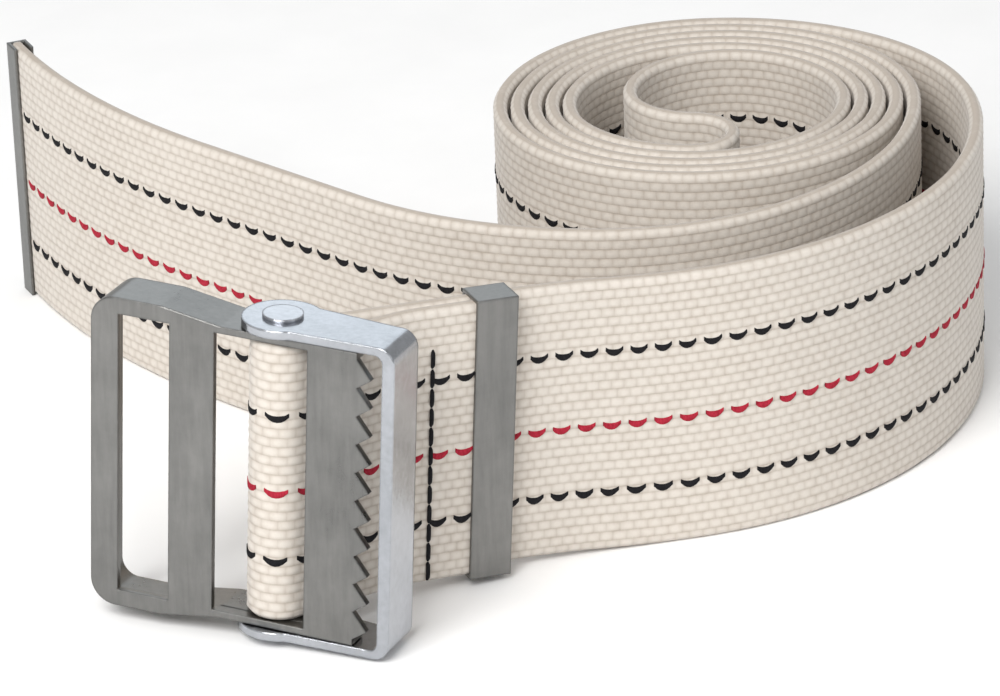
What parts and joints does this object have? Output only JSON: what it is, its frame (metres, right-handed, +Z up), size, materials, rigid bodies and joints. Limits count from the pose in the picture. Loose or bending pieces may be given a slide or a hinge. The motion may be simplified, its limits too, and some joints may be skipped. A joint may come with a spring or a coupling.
{
  "type": "gait belt",
  "caption": "Woven webbing transfer belt rolled from its middle and standing on edge, with a pivoting toothed lever buckle sewn into one end.",
  "frame": {"origin": "centre of the bounding box on the resting plane, the lower edge of the webbing at z = 0", "axes": "+Z up across the width of the webbing, +X along the longest horizontal extent with the coil on the +X side, +Y away from the buckle"},
  "size_m": [0.181, 0.168, 0.06],
  "materials": {
    "webbing": "natural cotton webbing, coarse weave, with two black and one red woven dashed lines",
    "tip_metal": "thin folded steel sheet, dull",
    "clip_metal": "thin crimped steel band, satin",
    "thread": "black sewing thread",
    "bracket_metal": "nickel plated steel, bright",
    "pin_metal": "nickel plated steel rivet, bright",
    "lever_metal": "nickel plated steel, satin front, bright bent edges"
  },
  "bodies": {
    "belt": {"webbing_coil_inward": "webbing", "webbing_fold": "webbing", "webbing_coil_outward": "webbing", "webbing_free_run": "webbing", "webbing_outer_turn": "webbing", "webbing_buckle_run": "webbing", "webbing_pin_loop": "webbing", "belt_tip": "tip_metal", "tail_clip": "clip_metal", "loop_stitching": "thread"},
    "bracket": {"clamp_bracket": "bracket_metal", "pivot_pin": "pin_metal"},
    "lever": {"toothed_lever": "lever_metal"}
  },
  "joints": [
    {"name": "buckle_swing", "type": "hinge", "parent": "belt", "child": "bracket", "pos_m": [-0.03671, -0.06929, 0.02984], "axis": [0.0627, 0.0153, 0.9979], "range_deg": [-50, 32]},
    {"name": "jaw_lever", "type": "hinge", "parent": "bracket", "child": "lever", "pos_m": [-0.03671, -0.06929, 0.02984], "axis": [0.0627, 0.0153, 0.9979], "range_deg": [-60, 0]}
  ]
}
